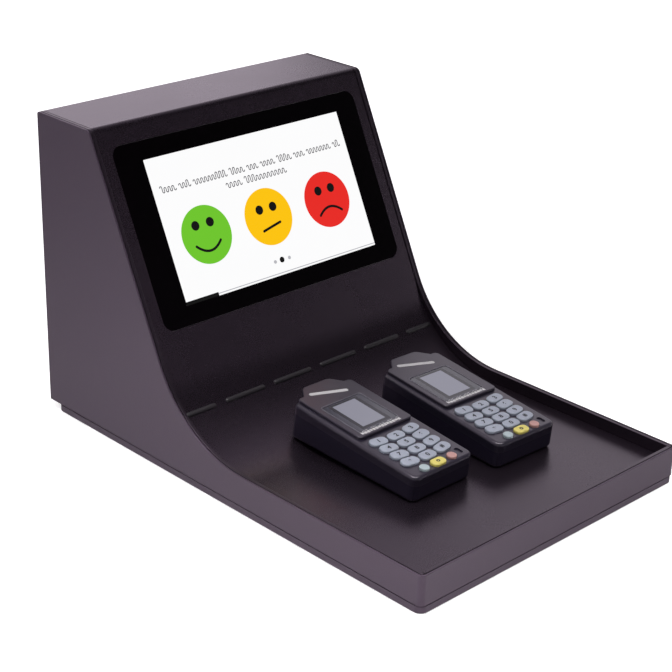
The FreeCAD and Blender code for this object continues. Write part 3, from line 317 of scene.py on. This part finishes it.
def glowMaterial(name, colour, gloss=0.08):
    # lit display behind its glass: black face with gloss, the picture's colour as slightly uneven emission
    material = bpy.data.materials.new(name)
    tree = nodeTree(material)
    link = tree.links.new
    surface = addNode(tree, "ShaderNodeBsdfPrincipled", {
        "Base Color": glowSet["black"], "Roughness": gloss, "Specular IOR Level": glowSet["specular"],
        "Emission Strength": 1.0})
    where = addNode(tree, "ShaderNodeTexCoord")
    uneven = addNode(tree, "ShaderNodeTexNoise", {"Scale": glowSet["unevenScale"]})
    level = addNode(tree, "ShaderNodeMapRange", {"To Min": glowSet["unevenLow"], "To Max": 1.0})
    tint = addNode(tree, "ShaderNodeVectorMath", {0: colour[:3]}, operation="SCALE")
    out = addNode(tree, "ShaderNodeOutputMaterial")
    link(where.outputs["Object"], uneven.inputs["Vector"])
    link(uneven.outputs["Fac"], level.inputs["Value"])
    link(level.outputs["Result"], tint.inputs["Scale"])
    link(tint.outputs[0], surface.inputs["Emission Color"])
    link(surface.outputs[0], out.inputs["Surface"])
    return material


coat = {"Specular IOR Level": 0.65, "Specular Tint": (1.0, 0.76, 1.0, 1)}
blackGlass = {"Specular IOR Level": 0.06}
handsetCoat = {"Specular IOR Level": 0.9, "Specular Tint": (1.0, 0.93, 1.0, 1)}
dullCoat = {"Specular IOR Level": 0.45}
metal = {"Metallic": 1.0}
paints = {
    "wrap": grainyMaterial("powderCoatWrap", srgb(66, 56, 68), 0.40, 1500, 0.00006, sockets=coat),
    # side plates and fascia sheet: the wrap's powder coat painted far darker, painted shade on the walls,
    # panel, curve and tray that face away from the light
    "plate": grainyMaterial("plateCoatPaintedShade", srgb(28, 23, 29), 0.34, 1500, 0.00005, sockets=coat),
    "fascia": grainyMaterial("fasciaCoatPaintedShade", srgb(26, 21, 27), 0.28, 1300, 0.00006, sockets=coat),
    # ribs: the fascia's coat painted lighter, a painted highlight on the raised ribs
    "rib": grainyMaterial("ribCoatPaintedHighlight", srgb(40, 37, 41), 0.45, 1300, 0.00006),
    "cover": grainyMaterial("powderCoatCover", srgb(66, 59, 68), 0.5, 1500, 0.00008),
    "base": grainyMaterial("powderCoatBase", srgb(66, 56, 68), 0.40, 1500, 0.00006, sockets=coat),
    "rubber": grainyMaterial("feetRubber", srgb(26, 26, 26), 0.8, 700, 0.0001),
    "glass": grainyMaterial("borderGlass", (0.0012, 0.0006, 0.0012, 1), 0.06, 60, 0.0, tone=0.2, spread=0.03,
                            sockets=blackGlass),
    "blackPlastic": grainyMaterial("blackPlastic", srgb(24, 24, 26), 0.4, 900, 0.00004),
    "zinc": grainyMaterial("zincPlate", srgb(190, 190, 186), 0.35, 400, 0.00003, sockets=metal),
    "blackZinc": grainyMaterial("blackZinc", srgb(58, 58, 60), 0.35, 500, 0.00003, sockets=metal),
    "laminate": grainyMaterial("boardLaminate", srgb(20, 88, 52), 0.4, 300, 0.00003),
    "face": grainyMaterial("handsetFace", srgb(34, 31, 44), 0.30, 1600, 0.00003, sockets=handsetCoat),
    "back": grainyMaterial("handsetBack", srgb(32, 27, 44), 0.40, 1400, 0.00006, sockets=dullCoat),
    "window": grainyMaterial("handsetWindow", srgb(70, 70, 80), 0.12, 100, 0.0),
    "keyGrey": grainyMaterial("keyGrey", srgb(162, 168, 182), 0.42, 1200, 0.00002, tone=0.06),
    "keyGreen": grainyMaterial("keyGreen", srgb(174, 188, 192), 0.42, 1200, 0.00002, tone=0.06),
    "keyYellow": grainyMaterial("keyYellow", srgb(224, 210, 112), 0.42, 1200, 0.00002, tone=0.06),
    "keyRed": grainyMaterial("keyRed", srgb(192, 146, 140), 0.42, 1200, 0.00002, tone=0.06),
    "battery": grainyMaterial("batteryWrap", srgb(40, 62, 96), 0.35, 500, 0.00003),
    "matRubber": grainyMaterial("matRubber", srgb(120, 124, 130), 0.7, 700, 0.00004),
}
print("materials made:", len(paints))


nodePaint = {
    "outer_wrap": "wrap", "left_side_plate": "plate", "right_side_plate": "plate", "fascia_sheet": "fascia",
    "rear_cover": "cover", "base_plate": "base", "rubber_feet": "rubber", "touch_glass": "glass",
    "display_panel": "blackPlastic", "display_bracket": "zinc", "controller_board": "laminate",
    "case_screws": "blackZinc", "bracket_nuts": "zinc", "power_inlet": "blackPlastic",
}
handsetPaint = {
    "front_shell": "face", "back_shell": "back", "window": "window", "lcd": "window",
    "keypad_mat": "matRubber", "circuit_board": "laminate", "battery": "battery", "screws": "blackZinc",
}
keyPaint = {"green": "keyGreen", "yellow": "keyYellow", "red": "keyRed"}  # the other keys are grey
for side in sides:
    for part, paint in handsetPaint.items():
        nodePaint[f"{side}_handset_{part}"] = paint
keyNames = [name for name in frame["nodes"] if "_key_" in name]
for name in keyNames:
    nodePaint[name] = keyPaint.get(name.split("_")[-1], "keyGrey")
bodyOf = {name: body for body, names in frame["record"]["behaviour"]["bodies"].items() for name in names}


def dress(item, material):
    if not item.material_slots:
        item.data.materials.append(material)
    for slot in item.material_slots:
        slot.material = material


for name, paint in nodePaint.items():
    dress(frame["nodes"][name], paints[paint])


smoothSet = {"joinWithin": 0.000004, "sharpAngle": math.radians(32)}


def smoothCopy(nodeName):
    # the node's own mesh with its vertices joined, shaded smooth except across sharp edges
    mesh = frame["nodes"][nodeName].data.copy()
    mesh.name = nodeName + "_smooth"
    shape = bmesh.new()
    shape.from_mesh(mesh)
    bmesh.ops.remove_doubles(shape, verts=shape.verts, dist=smoothSet["joinWithin"])
    for edge in shape.edges:
        edge.smooth = len(edge.link_faces) == 2 and edge.calc_face_angle(0) < smoothSet["sharpAngle"]
    for face in shape.faces:
        face.smooth = True
    shape.to_mesh(mesh)
    shape.free()
    if "custom_normal" in mesh.attributes:
        mesh.attributes.remove(mesh.attributes["custom_normal"])
    copy = addObject(mesh.name, mesh)
    weigh = copy.modifiers.new("weighNormals", "WEIGHTED_NORMAL")
    weigh.keep_sharp = True
    weigh.mode = "FACE_AREA"
    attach(copy, bodyOf[nodeName])
    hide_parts(nodeName)
    return copy


smoothed = ["outer_wrap", "left_side_plate", "right_side_plate", "fascia_sheet", "base_plate", "touch_glass"]
for side in sides:
    smoothed += [f"{side}_handset_front_shell", f"{side}_handset_back_shell"]
copies = {name: smoothCopy(name) for name in smoothed + keyNames}


def readValues(items, label, width):
    # one named value of all vertices or faces as an array with a row for each
    values = np.empty(len(items) * width)
    items.foreach_get(label, values)
    return values.reshape(-1, width)


# axis of the concave curve, and the distances from it between which the ribs' faces lie
ribForm = {"axisY": -0.0313, "axisZ": 0.131, "near": 0.104, "far": 0.1078}


def paintRibs(mesh):
    # the ribs stand inside the curve, nearer to its axis than the sheet itself; their faces take the lighter
    # rib coat, a painted highlight
    mesh.materials.append(paints["rib"])
    middles = readValues(mesh.polygons, "center", 3)
    away = np.hypot(middles[:, 1] - ribForm["axisY"], middles[:, 2] - ribForm["axisZ"])
    onRib = (ribForm["near"] < away) & (away < ribForm["far"])
    mesh.polygons.foreach_set("material_index", onRib.astype(np.int32))


paintRibs(copies["fascia_sheet"].data)
print("smooth copies:", len(copies))


def gridMesh(name, points, closed=False):
    # quads between neighbours of a grid of points, rows by columns; a closed grid joins its ends both ways
    rows, columns = points.shape[:2]
    index = np.arange(rows * columns).reshape(rows, columns)
    if closed:
        index = np.pad(index, ((0, 1), (0, 1)), mode="wrap")
    quads = np.stack([index[:-1, :-1], index[:-1, 1:], index[1:, 1:], index[1:, :-1]], -1).reshape(-1, 4)
    mesh = bpy.data.meshes.new(name)
    mesh.from_pydata(points.reshape(-1, 3).tolist(), [], quads.tolist())
    mesh.validate()
    return mesh


def joinMeshes(name, meshes):
    # one mesh of several, with seams and poles closed
    shape = bmesh.new()
    for mesh in meshes:
        shape.from_mesh(mesh)
        bpy.data.meshes.remove(mesh)
    bmesh.ops.remove_doubles(shape, verts=shape.verts, dist=0.0000001)
    bmesh.ops.recalc_face_normals(shape, faces=shape.faces)
    joined = bpy.data.meshes.new(name)
    shape.to_mesh(joined)
    shape.free()
    return joined


def faceOutward(mesh, direction):
    # a flat film looks the way of the given direction
    normals = readValues(mesh.polygons, "normal", 3)
    areas = readValues(mesh.polygons, "area", 1)
    if (normals * areas).sum(0) @ np.array(direction) < 0:
        mesh.flip_normals()


def addFilm(name, meshes, material, out, body):
    mesh = joinMeshes(name, meshes)
    faceOutward(mesh, out)
    film = addObject(name, mesh)
    mesh.materials.append(material)
    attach(film, body)


caseForm = {"panelTopY": 0.16, "height": 0.278, "lean": math.radians(26.13), "glassFace": -0.001}
panelOut = (0, -math.cos(caseForm["lean"]), math.sin(caseForm["lean"]))


def onPanel(across, down, out):
    # point of the slanted panel: across it, down its slope from the top corner, and out of its glass
    sine, cosine = math.sin(caseForm["lean"]), math.cos(caseForm["lean"])
    lift = caseForm["glassFace"] + out
    return np.stack([across, caseForm["panelTopY"] - down * sine - lift * cosine,
                     caseForm["height"] - down * cosine + lift * sine], -1)


# flat shapes have their sizes in millimetres, and place turns across, down and height into scene points;
# here are the numbers of points and steps in them
patchSet = {
    "around": 97, "rings": 5, "discRings": 6, "lineSteps": 33, "capSteps": 6, "arcSteps": 9, "bowSteps": 12,
}


def filmMesh(name, across, down, height, place):
    # a grid of points at one height over what carries it
    return gridMesh(name, place(across * mm, down * mm, np.full(np.shape(across), height * mm)))


def roundedOutline(half, corner, turn, reach):
    # a circle of the given reach, its quarters moved apart to the corners' centres
    quarter = np.floor(turn / (math.pi / 2) + 1e-9) % 4
    middleAcross = np.where((quarter == 0) | (quarter == 3), 1, -1) * (half[0] - corner)
    middleDown = np.where(quarter < 2, 1, -1) * (half[1] - corner)
    return middleAcross + reach * np.cos(turn), middleDown + reach * np.sin(turn)


def roundedPatch(name, centre, half, corner, height, place=onPanel):
    # rectangle with round corners: rings that grow evenly from the middle to the outline
    turn = np.linspace(0, 2 * math.pi, patchSet["around"])
    across, down = roundedOutline(half, corner, turn, corner)
    share = np.linspace(0, 1, patchSet["rings"])[:, None]
    return filmMesh(name, centre[0] + share * across, centre[1] + share * down, height, place)


def discPatch(name, centre, radii, height, place=onPanel):
    # ellipse: rings that grow evenly from the middle
    turn = np.linspace(0, 2 * math.pi, patchSet["around"])
    share = np.linspace(0, 1, patchSet["discRings"])[:, None]
    across = centre[0] + share * radii[0] * np.cos(turn)
    return filmMesh(name, across, centre[1] + share * radii[1] * np.sin(turn), height, place)


def bandPatch(name, line, width, height, place=onPanel):
    # band of constant width along a line of points: offsets to both sides of it, half circles at the ends
    along = np.gradient(line, axis=0)
    along /= np.linalg.norm(along, axis=1, keepdims=True)
    sideways = np.stack([-along[:, 1], along[:, 0]], -1)
    cap = np.linspace(0, math.pi / 2, patchSet["capSteps"] + 1)[1:, None]
    ahead, beside = width / 2 * np.sin(cap), width / 2 * np.cos(cap)
    centres = np.concatenate([line[0] - along[0] * ahead[::-1], line, line[-1] + along[-1] * ahead])
    halves = np.concatenate([beside[::-1], np.full((len(line), 1), width / 2), beside])
    normals = np.pad(sideways, ((len(cap), len(cap)), (0, 0)), mode="edge")
    rows = np.stack([centres + normals * halves * k for k in (-1, 0, 1)], 0)
    return filmMesh(name, rows[..., 0], rows[..., 1], height, place)


def strokePatch(name, points, width, height, place=onPanel):
    # band along a parabola that passes the three points at its start, its middle and its end
    first, middle, last = np.array(points, float)
    share = np.linspace(0, 1, patchSet["lineSteps"])[:, None]
    bend = 2 * middle - 0.5 * (first + last)
    line = (1 - share) ** 2 * first + 2 * share * (1 - share) * bend + share ** 2 * last
    return bandPatch(name, line, width, height, place)


def squigglePatch(name, start, down, unit, tops, width, height):
    # band along a serpentine, one loop a unit: half circle over the top, run down, half circle below, run up
    arc = np.linspace(0, math.pi, patchSet["arcSteps"])
    bend = unit / 4
    left = start + unit * np.arange(len(tops))[:, None]
    over = np.stack([left + bend - bend * np.cos(arc), down - tops[:, None] + bend - bend * np.sin(arc)], -1)
    under = np.stack([left + 3 * bend - bend * np.cos(arc), down - bend + bend * np.sin(arc) + 0 * left], -1)
    return bandPatch(name, np.concatenate([over, under], 1).reshape(-1, 2), width, height)


# picture on the screen, in millimetres across the panel and down from its top corner
picture = {
    "middle": (1.25, 97.95), "half": (112.25, 63.85), "corner": 0.4,
    "layer": 0.03,  # rise of each film over the one below
    "radii": (26.6, 25.6), "eye": (4.25, 4.15), "stroke": 2.3,
    "faces": {
        "green": {"middle": (-69.4, 108.6), "eyes": ((-78.6, 98.9), (-62.5, 98.9)),
                  "mouth": ((-83.6, 116.3), (-70.0, 122.8), (-56.7, 116.3))},
        "yellow": {"middle": (1.4, 109.0), "eyes": ((-6.7, 101.3), (9.0, 101.3)),
                   "mouth": ((-8.2, 120.4), (2.1, 118.3), (12.5, 116.3))},
        "red": {"middle": (72.7, 109.0), "eyes": ((64.9, 99.6), (80.5, 99.6)),
                "mouth": ((59.9, 121.7), (73.3, 115.9), (86.6, 121.7))},
    },
    "pageDot": (2.1, 148.8), "pageDotRadii": (2.7, 2.6),
    "otherDots": ((-5.9, 149.0), (10.8, 149.0)), "otherDotRadii": (1.7, 1.6),
    "tab": (-93.2, 160.2), "tabHalf": (17.8, 1.6), "line": (19.0, 159.9), "lineHalf": (94.4, 0.4),
    "lineCorner": 0.1,
    # rows of writing: down, start, end, and the loops of each word
    "rows": ((65.0, -103.0, 106.0, (4, 3, 9, 4, 3, 4, 4, 3, 7, 2)), (75.4, -34.0, 36.0, (4, 11))),
    "loopTall": 4.2, "highLoopTall": 5.8, "loopStroke": 0.8, "wordGap": 0.8,
}
screenTones = {
    "white": glowMaterial("screenWhite", (0.98, 0.98, 0.985)),
    "green": glowMaterial("screenGreen", srgb(111, 198, 46)),
    "yellow": glowMaterial("screenYellow", srgb(253, 196, 13)),
    "red": glowMaterial("screenRed", srgb(232, 44, 38)),
    "ink": glowMaterial("screenInk", (0.006, 0.006, 0.006)),
    "type": glowMaterial("screenType", srgb(72, 70, 76)),
    "mark": glowMaterial("screenMark", srgb(182, 182, 188)),
}


def addScreenFilm(name, meshes, tone):
    addFilm(name, meshes, screenTones[tone], panelOut, "console")


def squiggleWords(height):
    # placeholder for writing: a squiggle for each word, some of its loops higher than the rest
    words = []
    for line, (down, start, end, lengths) in enumerate(picture["rows"]):
        unit = (end - start) / (sum(lengths) + picture["wordGap"] * (len(lengths) - 1))
        for count, loops in enumerate(lengths):
            high = (7 * np.arange(loops) + 5 * count + 3 * line) % 11 % 4 == 0  # spread unevenly
            tops = np.where(high, picture["highLoopTall"], picture["loopTall"])
            words.append(squigglePatch("word", start, down, unit, tops, picture["loopStroke"], height))
            start += (loops + picture["wordGap"]) * unit
    return words


def makePicture():
    layer = picture["layer"]
    ground = roundedPatch("ground", picture["middle"], picture["half"], picture["corner"], layer)
    addScreenFilm("screenGround", [ground], "white")
    ink = []
    for colour, face in picture["faces"].items():
        disc = discPatch(colour, face["middle"], picture["radii"], 2 * layer)
        addScreenFilm(f"face_{colour}", [disc], colour)
        ink += [discPatch("eye", eye, picture["eye"], 3 * layer) for eye in face["eyes"]]
        ink.append(strokePatch("mouth", face["mouth"], picture["stroke"], 3 * layer))
    ink.append(discPatch("dot", picture["pageDot"], picture["pageDotRadii"], 2 * layer))
    ink.append(roundedPatch("tab", picture["tab"], picture["tabHalf"], picture["lineCorner"], 2 * layer))
    addScreenFilm("screenInk", ink, "ink")
    addScreenFilm("screenWords", squiggleWords(2 * layer), "type")
    marks = [discPatch("dot", spot, picture["otherDotRadii"], 2 * layer) for spot in picture["otherDots"]]
    line = roundedPatch("line", picture["line"], picture["lineHalf"], picture["lineCorner"], 1.5 * layer)
    addScreenFilm("screenMarks", marks + [line], "mark")


makePicture()
print("screen picture made")


# handset: place in metres and angles in radians, the rest in millimetres across and along its own face
handsetForm = {
    "left": {"place": (-0.0353, -0.098606, 0.051488), "tilt": 0.099192, "turn": 0.0},
    "right": {"place": (0.0607, -0.105847, 0.051010), "tilt": 0.086821, "turn": -0.043633},
    "headTop": 2.8,  # height of the head over the key face
    "layer": 0.04,  # rise of a film over what it lies on
    "display": (-3.1, 53.0), "displayHalf": (12.9, 18.6), "displayCorner": 0.4,
    "bezel": (-2.9, 52.6), "bezelHalf": (16.6, 21.4), "bezelCorner": 1.2,
    "frame": (-2.6, 52.3), "frameHalf": (22.9, 23.9), "frameCorner": 2.4, "frameWide": 1.0, "frameRise": 0.45,
    "barAlong": 27.2, "barLow": -25.8, "barHigh": 19.6, "barTall": 4.6,
    "barMarks": 14, "markWide": 0.86, "shortMark": 0.8, "shortEvery": 3, "markCorner": 0.4,
    "stripe": ((-16.0, 97.6), (-1.0, 92.0), (14.0, 86.4)), "stripeWide": 4.2,
    "digit": 6.2, "digitStroke": 0.24,
    "keyTurn": 9.0, "middleColumn": -1.5, "columnHalf": 4.0,  # outer columns' prints turn by keyTurn degrees
}
keySigns = {**{str(number): str(number) for number in range(10)}, "star": "*", "hash": "#", "yellow": "o"}
edgeShine = {"Specular IOR Level": 0.9}
handsetTones = {
    "lit": glowMaterial("handsetLit", srgb(141, 140, 153), 0.12),
    "bezel": grainyMaterial("handsetBezel", srgb(44, 44, 52), 0.2, 200, 0.0),
    "bar": grainyMaterial("handsetBar", srgb(206, 204, 206), 0.4, 300, 0.0),
    # window frame ridge: painted much lighter than the shell, a painted highlight along it, on top of its
    # real gloss
    "ridgeHighlight": grainyMaterial("handsetRidge", srgb(104, 101, 112), 0.3, 800, 0.0, sockets=edgeShine),
    "print": grainyMaterial("keyPrint", srgb(18, 20, 32), 0.5, 300, 0.0),
}


def handsetPlace(side):
    # own across, along and up of a handset to the scene: tilt about its width, turn in plan, then shift
    form = handsetForm[side]
    spin = np.array(Matrix.Rotation(form["turn"], 3, "Z") @ Matrix.Rotation(form["tilt"], 3, "X"))

    def place(across, along, up):
        spots = np.stack(np.broadcast_arrays(across, along, up), -1)
        return spots @ spin.T + np.array(form["place"])

    return place, spin


def frameMesh(name, centre, half, corner, wide, rise, base, place):
    # raised line around a rectangle with round corners: an ellipse swept along the outline, half sunk
    turn = np.linspace(0, 2 * math.pi, patchSet["around"])[:-1]
    bow = np.linspace(0, 2 * math.pi, patchSet["bowSteps"] + 1)[:-1, None]
    across, along = roundedOutline(half, corner, turn, corner + wide / 2 * np.cos(bow))
    up = base + rise * np.sin(bow)
    return gridMesh(name, place((centre[0] + across) * mm, (centre[1] + along) * mm, up * mm), closed=True)


def textMesh(sign, height, stroke):
    # outline of the letters of the built-in font, filled flat
    curve = bpy.data.curves.new("print", "FONT")
    curve.body = sign
    curve.size = height
    curve.offset = stroke
    curve.align_x = "CENTER"
    curve.align_y = "CENTER"
    item = addObject("print", curve)
    mesh = bpy.data.meshes.new_from_object(item.evaluated_get(bpy.context.evaluated_depsgraph_get()))
    bpy.data.objects.remove(item)
    bpy.data.curves.remove(curve)
    return mesh


def barMarks(top, place):
    # row of short light marks below the window
    form = handsetForm
    edges = np.linspace(form["barLow"], form["barHigh"], form["barMarks"] + 1)
    marks = []
    for number, (low, high) in enumerate(zip(edges[:-1], edges[1:])):
        tall = form["barTall"] * (1.0 if number % form["shortEvery"] else form["shortMark"])
        centre, half = ((low + high) / 2, form["barAlong"]), (form["markWide"] / 2 * (high - low), tall / 2)
        marks.append(roundedPatch("mark", centre, half, form["markCorner"], top, place))
    return marks


def makeHandsetFace(side):
    form = handsetForm
    place, spin = handsetPlace(side)
    out = spin[:, 2]
    body = f"{side}_handset"
    head = form["headTop"]
    top = head + form["layer"]
    bezel = roundedPatch("bezel", form["bezel"], form["bezelHalf"], form["bezelCorner"], top, place)
    addFilm(f"{side}_bezel", [bezel], handsetTones["bezel"], out, body)
    display = roundedPatch("display", form["display"], form["displayHalf"], form["displayCorner"],
                           top + form["layer"], place)
    addFilm(f"{side}_display", [display], handsetTones["lit"], out, body)
    stripe = strokePatch("stripe", form["stripe"], form["stripeWide"], top, place)
    addFilm(f"{side}_bar", barMarks(top, place) + [stripe], handsetTones["bar"], out, body)
    # the raised frame around the window carries the painted highlight
    name = f"{side}_windowFrame"
    mesh = frameMesh(name, form["frame"], form["frameHalf"], form["frameCorner"], form["frameWide"],
                     form["frameRise"], head, place)
    ridgeHighlight = addObject(name, mesh)
    mesh.materials.append(handsetTones["ridgeHighlight"])
    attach(ridgeHighlight, body)


def makeKeyPrint(side):
    # a sign flat on the top of each key, in the middle of the key's box in the handset's own directions
    form = handsetForm
    place, spin = handsetPlace(side)
    for ending, sign in keySigns.items():
        nodeName = f"{side}_key_{ending}"
        corners = readValues(frame["nodes"][nodeName].data.vertices, "co", 3)
        own = (corners - np.array(form[side]["place"])) @ spin
        middle = (own.max(0) + own.min(0)) / 2
        inMiddle = abs(middle[0] - form["middleColumn"] * mm) < form["columnHalf"] * mm
        turn = 0 if inMiddle else math.copysign(math.radians(form["keyTurn"]), middle[0])
        mesh = textMesh(sign, form["digit"] * mm, form["digitStroke"] * mm)
        flat = readValues(mesh.vertices, "co", 3)[:, :2]
        flat = flat - (flat.max(0) + flat.min(0)) / 2
        across = middle[0] + math.cos(turn) * flat[:, 0] - math.sin(turn) * flat[:, 1]
        along = middle[1] + math.sin(turn) * flat[:, 0] + math.cos(turn) * flat[:, 1]
        spots = place(across, along, own[:, 2].max() + form["layer"] * mm)
        mesh.vertices.foreach_set("co", spots.ravel())
        mesh.update()
        addFilm(f"{nodeName}_print", [mesh], handsetTones["print"], spin[:, 2], bodyOf[nodeName])


for side in sides:
    makeHandsetFace(side)
    makeKeyPrint(side)
print("handset details made")
